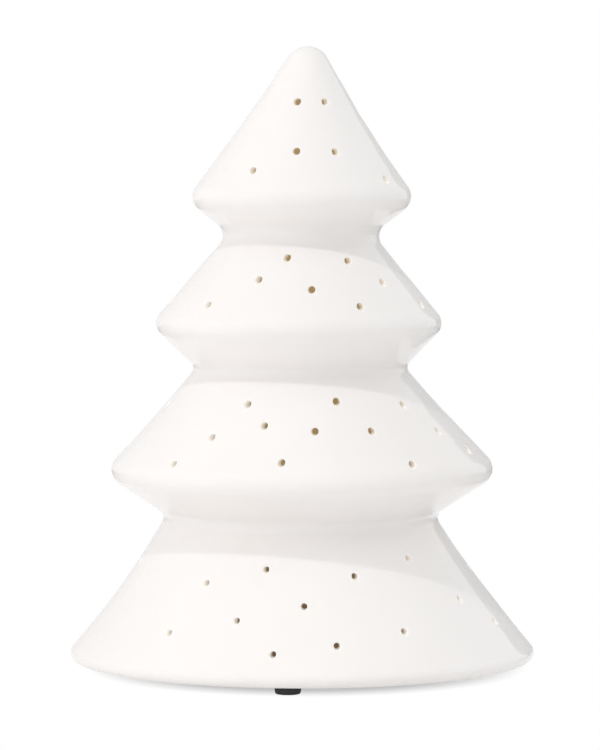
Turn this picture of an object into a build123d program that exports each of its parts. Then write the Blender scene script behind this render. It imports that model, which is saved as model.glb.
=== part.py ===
"""Pierced ceramic tree on rubber feet, with a battery light unit in its base. Millimetres and degrees."""
import math
import os

from build123d import *

os.makedirs("parts", exist_ok=True)

# Ceramic tree: radii from the axis, heights from the floor that the feet stand on
TREE_HEIGHT = 239.6
WALL = 3.2
DOME_RADIUS = 9.0
BASE_RADIUS = 93.7
BASE_ROUND = 3.35
BRIM_1_ROUND = 6.2
BRIM_2_ROUND = 5.6
BRIM_3_ROUND = 6.3
NECK_1_ROUND = 5.6
NECK_2_ROUND = 3.0
NECK_3_ROUND = 3.9
BEND_1_ROUND = 80.0
BEND_3_ROUND = 120.0
BEND_4_ROUND = 200.0
BASE_THICKNESS = 5.0
BASE_RECESS = 1.6

# Corners of the outline and bends in its flanks: share of the base's radius, share of the tree's height
BEND_1_SHARES = (0.2696, 0.8657)
BRIM_1_SHARES = (0.476, 0.7546)
NECK_1_SHARES = (0.2956, 0.7003)
BRIM_2_SHARES = (0.6083, 0.5547)
NECK_2_SHARES = (0.4301, 0.4854)
BEND_3_SHARES = (0.6208, 0.3991)
BRIM_3_SHARES = (0.8228, 0.3168)
NECK_3_SHARES = (0.5528, 0.2475)
BEND_4_SHARES = (0.7558, 0.1245)

# Light holes, drilled level towards the axis: degrees round from the front, share of the way down the tier
HOLE_RADIUS = 1.5
HOLE_MARGIN = 2.0
HALF_TURNS = (0, 180)
TIER_1_HOLE_SHARES = (
    (-6, 0.37), (27.5, 0.37), (-4, 0.69), (23.5, 0.695), (-31, 0.815), (55, 0.87),
    (94, 0.62),
)
TIER_2_HOLE_SHARES = (
    (-9.5, 0.255), (29, 0.29), (-23, 0.49), (4.5, 0.59), (46, 0.525), (-44.5, 0.765),
    (26, 0.77), (67, 0.77), (90, 0.38), (98, 0.74),
)
TIER_3_HOLE_SHARES = (
    (-24, 0.295), (15, 0.265), (48.5, 0.315), (-14.5, 0.48), (-33.5, 0.595), (4.5, 0.525),
    (26, 0.53), (58.5, 0.565), (69, 0.755), (-43, 0.84), (-6.5, 0.795), (35.5, 0.83),
    (86, 0.4), (93, 0.72), (100, 0.33),
)
TIER_4_HOLE_SHARES = (
    (-12.7, 0.275), (42, 0.23), (-33.2, 0.375), (18, 0.32), (0.5, 0.5), (56.5, 0.515),
    (68.5, 0.685), (-19.1, 0.595), (-39, 0.695), (9, 0.74), (29, 0.67), (-7.5, 0.79),
    (85, 0.36), (92, 0.63), (99, 0.3),
)

# Rubber feet
FOOT_HEIGHT = 3.4
FOOT_TOP_RADIUS = 5.2
FOOT_TAPER = 9
FOOT_ROUND = 0.7
FOOT_INSET = 17.7
FRONT_FOOT_TURN = -4
FOOT_TURNS = (0, 120, 240)

# Light unit: the housing and its seat in the base
RUN_GAP = 0.3
HOUSING_RADIUS = 45.0
HOUSING_WALL = 1.8
FLANGE_REACH = 7.0
FLANGE_THICKNESS = 3.0
DECK_THICKNESS = 4.2
SEAL_THICKNESS = 0.6
SEAL_SLEEVE = 1.2
SEAL_BEAD = 1.2
SEAL_BEAD_HEIGHT = 1.0
RECESS_MARGIN = 1.0

# Battery bay and its twist-off cover
CELL_RADIUS = 5.25
CELL_LENGTH = 44.5
CELL_ROUND = 0.5
NUB_RADIUS = 1.9
NUB_LENGTH = 0.9
CELL_GAP = 0.7
CELL_LIFT = 0.4
CONTACT_LENGTH = 5.5
BAY_SIDE_GAP = 0.55
BAY_WALL = 1.6
BAY_CEILING = 1.6
CAP_INSET = 11.3
CAP_THICKNESS = 2.2
CAP_EDGE_ROUND = 0.4
LUG_REACH = 2.0
LUG_WIDTH = 10.0
LUG_THICKNESS = 0.9
LUG_COUNT = 3
LUG_START = 90
UNLOCK_TURN = -30
STOP_WIDTH = 2.5
COIN_SLOT_LENGTH = 22.0
COIN_SLOT_WIDTH = 3.0
COIN_SLOT_DEPTH = 1.0

# Contacts and springs
PLATE_THICKNESS = 0.5
PLATE_SIDE_GAP = 1.8
PLATE_END_GAP = 0.9
TAB_WIDTH = 3.0
TAB_LENGTH = 2.0
TAB_GAP = 0.2
SPRING_RADIUS = 3.0
SPRING_WIRE_RADIUS = 0.35
SPRING_TURNS = 3

# Slide switch
SWITCH_INSET = 5.0
SWITCH_WALL = 0.6
SWITCH_HEIGHT = 3.6
SWITCH_FLOOR_THICKNESS = 1.6
SWITCH_SEAT_GAP = 0.2
PIN_RADIUS = 0.5
PIN_LENGTH = 1.6
PIN_PITCH = 2.5
KNOB_LENGTH = 2.6
KNOB_WIDTH = 2.0
KNOB_REACH = 0.7
KNOB_DEPTH = 1.2
KNOB_ROUND = 0.3
KNOB_TRAVEL = 4.0
THUMB_DISH_LENGTH = 13.0
THUMB_DISH_WIDTH = 5.6
THUMB_DISH_DEPTH = 0.5

# Circuit board, its parts and their places
POST_RADIUS = 2.4
POST_HEIGHT = 2.0
POST_INSET = 3.5
BOARD_END_GAP = 4.0
BOARD_WIDTH = 28.0
BOARD_THICKNESS = 1.6
BOARD_ROUND = 2.0
LED_RADIUS = 2.5
LED_COLLAR_WIDTH = 0.45
LED_COLLAR_HEIGHT = 1.0
LED_HEIGHT = 8.7
LED_TIP_RADIUS = 0.1
LED_CIRCLE_RADIUS = 7.0
LED_COUNT = 3
LED_START = 90
LEAD_RADIUS = 0.3
LEAD_SPREAD = 2.54
LEAD_TAIL = 1.2
LEAD_GAP = 0.1
CHIP_SHARES = (0.62, -0.21)
CHIP_LENGTH = 4.9
CHIP_WIDTH = 3.9
CHIP_HEIGHT = 1.5
CHIP_LEG_WIDTH = 0.4
CHIP_LEG_SPAN = 6.0
CHIP_LEG_THICKNESS = 0.25
CHIP_LEG_PITCH = 1.27
CHIP_LEG_ROWS = 4
CAN_SHARES = (-0.6, 0.36)
CAN_RADIUS = 2.0
CAN_HEIGHT = 4.8
CAN_ROUND = 0.3
CAN_FOOT_WIDTH = 4.3
CAN_FOOT_HEIGHT = 0.8
RESISTOR_LENGTH = 2.0
RESISTOR_WIDTH = 1.25
RESISTOR_HEIGHT = 0.5
RESISTOR_PITCH = 6.0
RESISTOR_ROW_SHARE = -0.71
RESISTOR_COUNT = 3
BOARD_HEADROOM = 5.5

# Lid over the electronics, reflector and screws
LID_THICKNESS = 1.6
LED_HOLE_GAP = 0.3
BOSS_RADIUS = 3.5
BOSS_INSET = 7.0
BOSS_COUNT = 3
BOSS_START = 30
SCREW_RADIUS = 1.1
SCREW_LENGTH = 10.0
SCREW_HEAD_RADIUS = 2.4
SCREW_HEAD_HEIGHT = 1.4
SCREW_HOLE_GAP = 0.3
SCREW_TIP_GAP = 1.0
HEAD_GAP = 0.2
HEAD_SINK = 0.8
CROSS_LENGTH = 2.8
CROSS_WIDTH = 0.7
CROSS_DEPTH = 0.6
BOARD_SCREW_RADIUS = 1.0
BOARD_SCREW_LENGTH = 3.4
BOARD_SCREW_HEAD_RADIUS = 1.9
BOARD_SCREW_HEAD_HEIGHT = 1.1
BOARD_CROSS_LENGTH = 2.2
REFLECTOR_FOOT_RADIUS = 15.0
REFLECTOR_FOOT_WIDTH = 2.0
REFLECTOR_SINK = 0.8
REFLECTOR_TOP_RADIUS = 22.0
REFLECTOR_RISE = 14.0
REFLECTOR_WALL = 1.6

# Leads inside the unit
WIRE_RADIUS = 0.55
WIRE_BEND = 2.2
WIRE_HEADROOM = 1.4
BLACK_PAD_SHARES = (-0.81, -0.29)
ON_PAD_SHARES = (-0.33, 0.79)
TIMER_PAD_SHARES = (-0.12, 0.79)

# Radii and lengths that follow from the sizes above
foot_circle = BASE_RADIUS - FOOT_INSET
flange_radius = HOUSING_RADIUS + FLANGE_REACH
opening_radius = HOUSING_RADIUS + SEAL_SLEEVE
cap_radius = HOUSING_RADIUS - CAP_INSET
cap_seat_radius = cap_radius + RUN_GAP
lug_radius = cap_radius + LUG_REACH
groove_radius = lug_radius + RUN_GAP
boss_circle = HOUSING_RADIUS - BOSS_INSET
switch_y = HOUSING_RADIUS - SWITCH_INSET
cell_pitch = 2 * CELL_RADIUS + CELL_GAP
bay_length = CELL_LENGTH + CONTACT_LENGTH
bay_width = 2 * cell_pitch + 2 * CELL_RADIUS + 2 * BAY_SIDE_GAP
bay_end = bay_length / 2
plate_face = bay_end - PLATE_THICKNESS
plate_middle = bay_end - PLATE_THICKNESS / 2
plate_width = cell_pitch - PLATE_SIDE_GAP
plate_height = 2 * CELL_RADIUS - PLATE_END_GAP
cell_back = CELL_LENGTH - plate_face
knob_rest_x = -KNOB_TRAVEL / 2
slot_length = KNOB_LENGTH + KNOB_TRAVEL + 2 * RUN_GAP
slot_width = KNOB_WIDTH + 2 * RUN_GAP
switch_length = slot_length + 2 * SWITCH_WALL
switch_width = slot_width + 2 * SWITCH_WALL
board_length = bay_length - 2 * BOARD_END_GAP
post_x = board_length / 2 - POST_INSET
post_y = BOARD_WIDTH / 2 - POST_INSET
stop_turn = math.degrees(math.asin((LUG_WIDTH / 2 + RUN_GAP + STOP_WIDTH / 2) / cap_radius))
stop_angles = (LUG_START + stop_turn, LUG_START + UNLOCK_TURN - stop_turn)

# Heights that follow from the sizes above, from the seat in the base upwards and downwards
seat_height = FOOT_HEIGHT + BASE_RECESS
base_top = FOOT_HEIGHT + BASE_THICKNESS
flange_top = seat_height - SEAL_THICKNESS
flange_bottom = flange_top - FLANGE_THICKNESS
deck_top = flange_bottom + DECK_THICKNESS
cap_top = flange_bottom + CAP_THICKNESS
lip_thickness = CAP_THICKNESS - LUG_THICKNESS - RUN_GAP
groove_bottom = flange_bottom + lip_thickness
groove_top = cap_top + RUN_GAP
cell_height = cap_top + CELL_LIFT + CELL_RADIUS
bay_top = cell_height + CELL_RADIUS + CELL_LIFT
bay_roof = bay_top + BAY_CEILING
tab_top = bay_roof + TAB_LENGTH
board_bottom = bay_roof + POST_HEIGHT
board_top = board_bottom + BOARD_THICKNESS
housing_top = board_top + BOARD_HEADROOM
lid_top = housing_top + LID_THICKNESS
switch_floor = flange_bottom + SWITCH_FLOOR_THICKNESS
pin_top = switch_floor + SWITCH_HEIGHT + PIN_LENGTH
knob_bottom = flange_bottom - KNOB_REACH
knob_top = switch_floor + KNOB_DEPTH
wire_crest = housing_top - WIRE_HEADROOM - WIRE_RADIUS


def outline_corner(shares):
    """Radius and height of a corner of the outline."""
    return (shares[0] * BASE_RADIUS, shares[1] * TREE_HEIGHT)


def board_place(shares):
    """Place on the board, from its middle."""
    return (shares[0] * board_length / 2, shares[1] * BOARD_WIDTH / 2)


bend_1 = outline_corner(BEND_1_SHARES)
brim_1 = outline_corner(BRIM_1_SHARES)
neck_1 = outline_corner(NECK_1_SHARES)
brim_2 = outline_corner(BRIM_2_SHARES)
neck_2 = outline_corner(NECK_2_SHARES)
bend_3 = outline_corner(BEND_3_SHARES)
brim_3 = outline_corner(BRIM_3_SHARES)
neck_3 = outline_corner(NECK_3_SHARES)
bend_4 = outline_corner(BEND_4_SHARES)
base = (BASE_RADIUS, FOOT_HEIGHT)
chip_place = board_place(CHIP_SHARES)
can_place = board_place(CAN_SHARES)
resistor_place = board_place((0, RESISTOR_ROW_SHARE))
black_pad = board_place(BLACK_PAD_SHARES)
on_pad = board_place(ON_PAD_SHARES)
timer_pad = board_place(TIMER_PAD_SHARES)

# The dome at the tip runs smoothly into the first flank
dome_height = TREE_HEIGHT - DOME_RADIUS
bend_reach = math.hypot(bend_1[0], bend_1[1] - dome_height)
bend_angle = math.atan2(bend_1[1] - dome_height, bend_1[0])
dome_angle = bend_angle + math.acos(DOME_RADIUS / bend_reach)
dome_middle = (dome_angle + math.pi / 2) / 2
tip = (DOME_RADIUS * math.cos(dome_angle), dome_height + DOME_RADIUS * math.sin(dome_angle))

# Outline of the tree, from the tip down to the base
rounded_corners = (
    (bend_1, BEND_1_ROUND),
    (brim_1, BRIM_1_ROUND),
    (neck_1, NECK_1_ROUND),
    (brim_2, BRIM_2_ROUND),
    (neck_2, NECK_2_ROUND),
    (bend_3, BEND_3_ROUND),
    (brim_3, BRIM_3_ROUND),
    (neck_3, NECK_3_ROUND),
    (bend_4, BEND_4_ROUND),
    (base, BASE_ROUND),
)
with BuildSketch(Plane.XZ) as tree_outline:
    with BuildLine():
        ThreePointArc(
            (0, TREE_HEIGHT),
            (DOME_RADIUS * math.cos(dome_middle), dome_height + DOME_RADIUS * math.sin(dome_middle)),
            tip,
        )
        Polyline(tip, bend_1, brim_1, neck_1, brim_2, neck_2, bend_3, brim_3, neck_3, bend_4, base)
        Polyline(base, (0, FOOT_HEIGHT), (0, TREE_HEIGHT))
    make_face()
    for corner, rounding in rounded_corners:
        fillet(tree_outline.vertices().sort_by_distance((corner[0], corner[1], 0))[0], radius=rounding)

# Hollow of the tree: the outline moved in by the wall, above the thick base
with BuildSketch(Plane.XZ) as hollow_outline:
    add(tree_outline.sketch_local)
    mirror(about=Plane.YZ)
    offset(amount=-WALL, mode=Mode.REPLACE)
    with Locations((BASE_RADIUS / 2, base_top + TREE_HEIGHT / 2)):
        Rectangle(BASE_RADIUS, TREE_HEIGHT, mode=Mode.INTERSECT)

# Ceramic tree, one casting, held as its four tiers: it parts at the necks
with BuildSketch(Plane.XZ) as wall_outline:
    add(tree_outline.sketch_local)
    add(hollow_outline.sketch_local, mode=Mode.SUBTRACT)
tiers = (
    (TREE_HEIGHT, tip, bend_1, brim_1, neck_1[1], TIER_1_HOLE_SHARES),
    (neck_1[1], neck_1, neck_1, brim_2, neck_2[1], TIER_2_HOLE_SHARES),
    (neck_2[1], neck_2, bend_3, brim_3, neck_3[1], TIER_3_HOLE_SHARES),
    (neck_3[1], neck_3, bend_4, base, FOOT_HEIGHT, TIER_4_HOLE_SHARES),
)
for number, (start, upper, bend, lower, end, places) in enumerate(tiers, start=1):
    slope = (lower[0] - upper[0]) / (upper[1] - lower[1])
    sag = upper[0] + slope * (upper[1] - bend[1]) - bend[0]
    reach_out = HOLE_RADIUS * slope + HOLE_MARGIN
    reach_in = sag + WALL * math.hypot(1, slope) + HOLE_RADIUS * slope + HOLE_MARGIN
    with BuildPart() as tier:
        with BuildSketch(Plane.XZ):
            add(wall_outline.sketch_local)
            with Locations((BASE_RADIUS / 2, (start + end) / 2)):
                Rectangle(BASE_RADIUS, start - end, mode=Mode.INTERSECT)
        revolve(axis=Axis.Z)
        if lower == base:
            with BuildSketch(Plane.XY.offset(FOOT_HEIGHT)):
                Circle(flange_radius + RECESS_MARGIN)
            extrude(amount=BASE_RECESS, mode=Mode.SUBTRACT)
            with BuildSketch(Plane.XY.offset(FOOT_HEIGHT)):
                Circle(opening_radius)
            extrude(amount=BASE_THICKNESS, mode=Mode.SUBTRACT)
        for degrees, down_share in places:
            for half_turn in HALF_TURNS:
                height = start - down_share * (start - lower[1])
                reach = upper[0] + slope * (upper[1] - height) - reach_in
                turn = math.radians(degrees + half_turn)
                out = (math.sin(turn), -math.cos(turn), 0)
                with BuildSketch(Plane(origin=(reach * out[0], reach * out[1], height), z_dir=out)):
                    Circle(HOLE_RADIUS)
        extrude(amount=reach_in + reach_out, mode=Mode.SUBTRACT)
    tier.part.label = f"tier_{number}"
    export_step(tier.part, f"parts/tier_{number}.step")

# Rubber feet
for number, foot_turn in enumerate(FOOT_TURNS, start=1):
    turn = math.radians(FRONT_FOOT_TURN + foot_turn)
    foot_place = (foot_circle * math.sin(turn), -foot_circle * math.cos(turn), FOOT_HEIGHT)
    with BuildPart() as foot:
        with BuildSketch(Plane(origin=foot_place, z_dir=(0, 0, -1))):
            Circle(FOOT_TOP_RADIUS)
        extrude(amount=FOOT_HEIGHT, taper=FOOT_TAPER)
        fillet(foot.faces().sort_by(Axis.Z)[0].edges(), radius=FOOT_ROUND)
    foot.part.label = f"foot_{number}"
    export_step(foot.part, f"parts/foot_{number}.step")

# Silicone grommet between the housing and the ceramic base
with BuildPart() as seal_ring:
    with BuildSketch(Plane.XY.offset(flange_top)):
        Circle(flange_radius)
        Circle(HOUSING_RADIUS, mode=Mode.SUBTRACT)
    extrude(amount=SEAL_THICKNESS)
    with BuildSketch(Plane.XY.offset(flange_top)):
        Circle(opening_radius)
        Circle(HOUSING_RADIUS, mode=Mode.SUBTRACT)
    extrude(amount=base_top + SEAL_BEAD_HEIGHT - flange_top)
    with BuildSketch(Plane.XY.offset(base_top)):
        Circle(opening_radius + SEAL_BEAD)
        Circle(HOUSING_RADIUS, mode=Mode.SUBTRACT)
    extrude(amount=SEAL_BEAD_HEIGHT)
seal_ring.part.label = "seal_ring"
export_step(seal_ring.part, "parts/seal_ring.step")

# Housing: flanged cup with the bay, the cover's bayonet groove, the switch seat, bosses and posts
with BuildPart() as battery_housing:
    with BuildSketch(Plane.XY.offset(flange_bottom)):
        Circle(flange_radius)
    extrude(amount=FLANGE_THICKNESS)
    with BuildSketch(Plane.XY.offset(flange_bottom)):
        Circle(HOUSING_RADIUS)
    extrude(amount=deck_top - flange_bottom)
    with BuildSketch(Plane.XY.offset(deck_top)):
        Circle(HOUSING_RADIUS)
        Circle(HOUSING_RADIUS - HOUSING_WALL, mode=Mode.SUBTRACT)
        with PolarLocations(boss_circle, BOSS_COUNT, start_angle=BOSS_START):
            Circle(BOSS_RADIUS)
    extrude(amount=housing_top - deck_top)
    with BuildSketch(Plane.XY.offset(deck_top)):
        Rectangle(bay_length + 2 * BAY_WALL, bay_width + 2 * BAY_WALL)
    extrude(amount=bay_roof - deck_top)
    with BuildSketch(Plane.XY.offset(bay_roof)):
        with GridLocations(2 * post_x, 2 * post_y, 2, 2):
            Circle(POST_RADIUS)
    extrude(amount=POST_HEIGHT)
    with BuildSketch(Plane.XY.offset(groove_top)):
        Rectangle(bay_length, bay_width)
    extrude(amount=bay_top - groove_top, mode=Mode.SUBTRACT)
    with BuildSketch(Plane.XY.offset(groove_bottom)):
        Circle(groove_radius)
    extrude(amount=groove_top - groove_bottom, mode=Mode.SUBTRACT)
    with BuildSketch(Plane.XY.offset(groove_bottom)):
        for stop_angle in stop_angles:
            with PolarLocations(groove_radius, LUG_COUNT, start_angle=stop_angle):
                Rectangle(LUG_WIDTH, STOP_WIDTH)
        Circle(cap_seat_radius, mode=Mode.SUBTRACT)
    extrude(amount=groove_top - groove_bottom)
    with BuildSketch(Plane.XY.offset(flange_bottom)):
        with PolarLocations(cap_radius, LUG_COUNT, start_angle=LUG_START + UNLOCK_TURN):
            Rectangle(2 * LUG_WIDTH, LUG_WIDTH + 2 * RUN_GAP)
        Circle(groove_radius, mode=Mode.INTERSECT)
        Circle(cap_seat_radius)
    extrude(amount=lip_thickness, mode=Mode.SUBTRACT)
    with BuildSketch(Plane.XY.offset(bay_top)):
        with Locations((plate_middle, cell_pitch), (-plate_middle, -cell_pitch)):
            Rectangle(PLATE_THICKNESS + 2 * TAB_GAP, TAB_WIDTH + 2 * TAB_GAP)
    extrude(amount=BAY_CEILING, mode=Mode.SUBTRACT)
    with BuildSketch(Plane.XY.offset(switch_floor)):
        with Locations((0, switch_y)):
            Rectangle(switch_length + 2 * SWITCH_SEAT_GAP, switch_width + 2 * SWITCH_SEAT_GAP)
    extrude(amount=deck_top - switch_floor, mode=Mode.SUBTRACT)
    with BuildSketch(Plane.XY.offset(flange_bottom)):
        with Locations((0, switch_y)):
            Rectangle(slot_length, slot_width)
    extrude(amount=switch_floor - flange_bottom, mode=Mode.SUBTRACT)
    with BuildSketch(Plane.XY.offset(flange_bottom)):
        with Locations((0, switch_y)):
            SlotOverall(THUMB_DISH_LENGTH, THUMB_DISH_WIDTH)
    extrude(amount=THUMB_DISH_DEPTH, mode=Mode.SUBTRACT)
    with BuildSketch(Plane.XY.offset(housing_top)):
        with PolarLocations(boss_circle, BOSS_COUNT, start_angle=BOSS_START):
            Circle(SCREW_RADIUS)
    extrude(amount=-(SCREW_LENGTH + SCREW_TIP_GAP), mode=Mode.SUBTRACT)
    with BuildSketch(Plane.XY.offset(board_bottom)):
        with GridLocations(2 * post_x, 2 * post_y, 2, 2):
            Circle(BOARD_SCREW_RADIUS)
    extrude(amount=-POST_HEIGHT, mode=Mode.SUBTRACT)
battery_housing.part.label = "battery_housing"
export_step(battery_housing.part, "parts/battery_housing.step")

# Twist-off cover under the bay
with BuildPart() as battery_cover:
    with BuildSketch(Plane.XY.offset(flange_bottom)):
        Circle(cap_radius)
    extrude(amount=CAP_THICKNESS)
    fillet(battery_cover.faces().sort_by(Axis.Z)[0].edges(), radius=CAP_EDGE_ROUND)
    with BuildSketch(Plane.XY.offset(cap_top)):
        with PolarLocations(cap_radius, LUG_COUNT, start_angle=LUG_START):
            Rectangle(2 * LUG_WIDTH, LUG_WIDTH)
        Circle(lug_radius, mode=Mode.INTERSECT)
    extrude(amount=-LUG_THICKNESS)
    with BuildSketch(Plane.XY.offset(flange_bottom)):
        SlotOverall(COIN_SLOT_LENGTH, COIN_SLOT_WIDTH)
    extrude(amount=COIN_SLOT_DEPTH, mode=Mode.SUBTRACT)
battery_cover.part.label = "battery_cover"
export_step(battery_cover.part, "parts/battery_cover.step")

# Cells in series: each one faces the other way from its neighbour
cell_rows = ((1, -cell_pitch, 1), (2, 0, -1), (3, cell_pitch, 1))
for number, row, facing in cell_rows:
    with BuildPart() as cell:
        with BuildSketch(Plane(origin=(-facing * cell_back, row, cell_height), z_dir=(facing, 0, 0))):
            Circle(CELL_RADIUS)
        extrude(amount=CELL_LENGTH - NUB_LENGTH)
        fillet(cell.edges().filter_by(GeomType.CIRCLE), radius=CELL_ROUND)
        with BuildSketch(Plane(origin=(facing * plate_face, row, cell_height), z_dir=(-facing, 0, 0))):
            Circle(NUB_RADIUS)
        extrude(amount=2 * NUB_LENGTH)
    cell.part.label = f"cell_{number}"
    export_step(cell.part, f"parts/cell_{number}.step")

# Coil springs at the negative ends
spring_height = plate_face - cell_back - 2 * SPRING_WIRE_RADIUS
for number, row, facing in cell_rows:
    with BuildPart() as contact_spring:
        with BuildLine() as coil:
            Helix(
                pitch=spring_height / SPRING_TURNS,
                height=spring_height,
                radius=SPRING_RADIUS,
                center=(-facing * (plate_face - SPRING_WIRE_RADIUS), row, cell_height),
                direction=(facing, 0, 0),
            )
        with BuildSketch(Plane(origin=coil.line @ 0, z_dir=coil.line % 0)):
            Circle(SPRING_WIRE_RADIUS)
        sweep(is_frenet=True)
    contact_spring.part.label = f"contact_spring_{number}"
    export_step(contact_spring.part, f"parts/contact_spring_{number}.step")

# Stamped contacts at the two ends of the bay
with BuildPart() as negative_terminal:
    with BuildSketch(Plane((-bay_end, -cell_pitch, cell_height), x_dir=(0, 1, 0), z_dir=(1, 0, 0))):
        Rectangle(plate_width, plate_height)
    extrude(amount=PLATE_THICKNESS)
    with BuildSketch(Plane(origin=(-plate_middle, -cell_pitch, cell_height), z_dir=(0, 0, 1))):
        Rectangle(PLATE_THICKNESS, TAB_WIDTH)
    extrude(amount=tab_top - cell_height)
negative_terminal.part.label = "negative_terminal"
export_step(negative_terminal.part, "parts/negative_terminal.step")

with BuildPart() as positive_terminal:
    with BuildSketch(Plane((plate_face, cell_pitch, cell_height), x_dir=(0, 1, 0), z_dir=(1, 0, 0))):
        Rectangle(plate_width, plate_height)
    extrude(amount=PLATE_THICKNESS)
    with BuildSketch(Plane(origin=(plate_middle, cell_pitch, cell_height), z_dir=(0, 0, 1))):
        Rectangle(PLATE_THICKNESS, TAB_WIDTH)
    extrude(amount=tab_top - cell_height)
positive_terminal.part.label = "positive_terminal"
export_step(positive_terminal.part, "parts/positive_terminal.step")

with BuildPart() as bridge_near:
    with BuildSketch(Plane((plate_face, -cell_pitch / 2, cell_height), x_dir=(0, 1, 0), z_dir=(1, 0, 0))):
        Rectangle(plate_width + cell_pitch, plate_height)
    extrude(amount=PLATE_THICKNESS)
bridge_near.part.label = "bridge_near"
export_step(bridge_near.part, "parts/bridge_near.step")

with BuildPart() as bridge_far:
    with BuildSketch(Plane((-bay_end, cell_pitch / 2, cell_height), x_dir=(0, 1, 0), z_dir=(1, 0, 0))):
        Rectangle(plate_width + cell_pitch, plate_height)
    extrude(amount=PLATE_THICKNESS)
bridge_far.part.label = "bridge_far"
export_step(bridge_far.part, "parts/bridge_far.step")

# Slide switch with three solder pins
with BuildPart() as switch_body:
    with BuildSketch(Plane.XY.offset(switch_floor)):
        with Locations((0, switch_y)):
            Rectangle(switch_length, switch_width)
    extrude(amount=SWITCH_HEIGHT)
    with BuildSketch(Plane.XY.offset(switch_floor)):
        with Locations((0, switch_y)):
            Rectangle(slot_length, slot_width)
    extrude(amount=knob_top + RUN_GAP - switch_floor, mode=Mode.SUBTRACT)
    with BuildSketch(Plane.XY.offset(switch_floor + SWITCH_HEIGHT)):
        with Locations((-PIN_PITCH, switch_y), (0, switch_y), (PIN_PITCH, switch_y)):
            Circle(PIN_RADIUS)
    extrude(amount=PIN_LENGTH)
switch_body.part.label = "switch_body"
export_step(switch_body.part, "parts/switch_body.step")

# Switch knob, drawn at the end of its travel that switches the light on
with BuildPart() as switch_knob:
    with BuildSketch(Plane.XY.offset(knob_bottom)):
        with Locations((knob_rest_x, switch_y)):
            Rectangle(KNOB_LENGTH, KNOB_WIDTH)
    extrude(amount=knob_top - knob_bottom)
    fillet(switch_knob.faces().sort_by(Axis.Z)[0].edges(), radius=KNOB_ROUND)
switch_knob.part.label = "switch_knob"
export_step(switch_knob.part, "parts/switch_knob.step")

# Circuit board
with BuildPart() as circuit_board:
    with BuildSketch(Plane.XY.offset(board_bottom)):
        RectangleRounded(board_length, BOARD_WIDTH, BOARD_ROUND)
        with GridLocations(2 * post_x, 2 * post_y, 2, 2):
            Circle(BOARD_SCREW_RADIUS + SCREW_HOLE_GAP, mode=Mode.SUBTRACT)
        with PolarLocations(LED_CIRCLE_RADIUS, LED_COUNT, start_angle=LED_START):
            with Locations((0, LEAD_SPREAD / 2), (0, -LEAD_SPREAD / 2)):
                Circle(LEAD_RADIUS + LEAD_GAP, mode=Mode.SUBTRACT)
    extrude(amount=BOARD_THICKNESS)
circuit_board.part.label = "circuit_board"
export_step(circuit_board.part, "parts/circuit_board.step")

# Warm white lights, standing on the board with their leads through it
for number in range(LED_COUNT):
    turn = LED_START + number * 360 / LED_COUNT
    led_x = LED_CIRCLE_RADIUS * math.cos(math.radians(turn))
    led_y = LED_CIRCLE_RADIUS * math.sin(math.radians(turn))
    led_plane = Plane(origin=(led_x, led_y, board_top), z_dir=(0, 0, 1)).rotated((0, 0, turn))
    with BuildPart() as led:
        with BuildSketch(led_plane):
            Circle(LED_RADIUS)
        extrude(amount=LED_HEIGHT)
        fillet(led.faces().sort_by(Axis.Z)[-1].edges(), radius=LED_RADIUS - LED_TIP_RADIUS)
        with BuildSketch(led_plane):
            Circle(LED_RADIUS + LED_COLLAR_WIDTH)
        extrude(amount=LED_COLLAR_HEIGHT)
        with BuildSketch(led_plane):
            with Locations((0, LEAD_SPREAD / 2), (0, -LEAD_SPREAD / 2)):
                Circle(LEAD_RADIUS)
        extrude(amount=-(BOARD_THICKNESS + LEAD_TAIL))
    led.part.label = f"led_{number + 1}"
    export_step(led.part, f"parts/led_{number + 1}.step")

# Timer chip
with BuildPart() as timer_chip:
    with BuildSketch(Plane.XY.offset(board_top)):
        with Locations(chip_place):
            with GridLocations(CHIP_LEG_PITCH, CHIP_LEG_SPAN, CHIP_LEG_ROWS, 1):
                Rectangle(CHIP_LEG_WIDTH, CHIP_LEG_SPAN)
    extrude(amount=CHIP_LEG_THICKNESS)
    with BuildSketch(Plane.XY.offset(board_top + CHIP_LEG_THICKNESS)):
        with Locations(chip_place):
            Rectangle(CHIP_LENGTH, CHIP_WIDTH)
    extrude(amount=CHIP_HEIGHT)
timer_chip.part.label = "timer_chip"
export_step(timer_chip.part, "parts/timer_chip.step")

# Capacitor
with BuildPart() as capacitor:
    with BuildSketch(Plane.XY.offset(board_top)):
        with Locations(can_place):
            Circle(CAN_RADIUS)
    extrude(amount=CAN_HEIGHT)
    fillet(capacitor.faces().sort_by(Axis.Z)[-1].edges(), radius=CAN_ROUND)
    with BuildSketch(Plane.XY.offset(board_top)):
        with Locations(can_place):
            Rectangle(CAN_FOOT_WIDTH, CAN_FOOT_WIDTH)
    extrude(amount=CAN_FOOT_HEIGHT)
capacitor.part.label = "capacitor"
export_step(capacitor.part, "parts/capacitor.step")

# Resistors, one for each light
with BuildPart() as resistors:
    with BuildSketch(Plane.XY.offset(board_top)):
        with Locations(resistor_place):
            with GridLocations(RESISTOR_PITCH, RESISTOR_WIDTH, RESISTOR_COUNT, 1):
                Rectangle(RESISTOR_LENGTH, RESISTOR_WIDTH)
    extrude(amount=RESISTOR_HEIGHT)
resistors.part.label = "resistors"
export_step(resistors.part, "parts/resistors.step")

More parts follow.
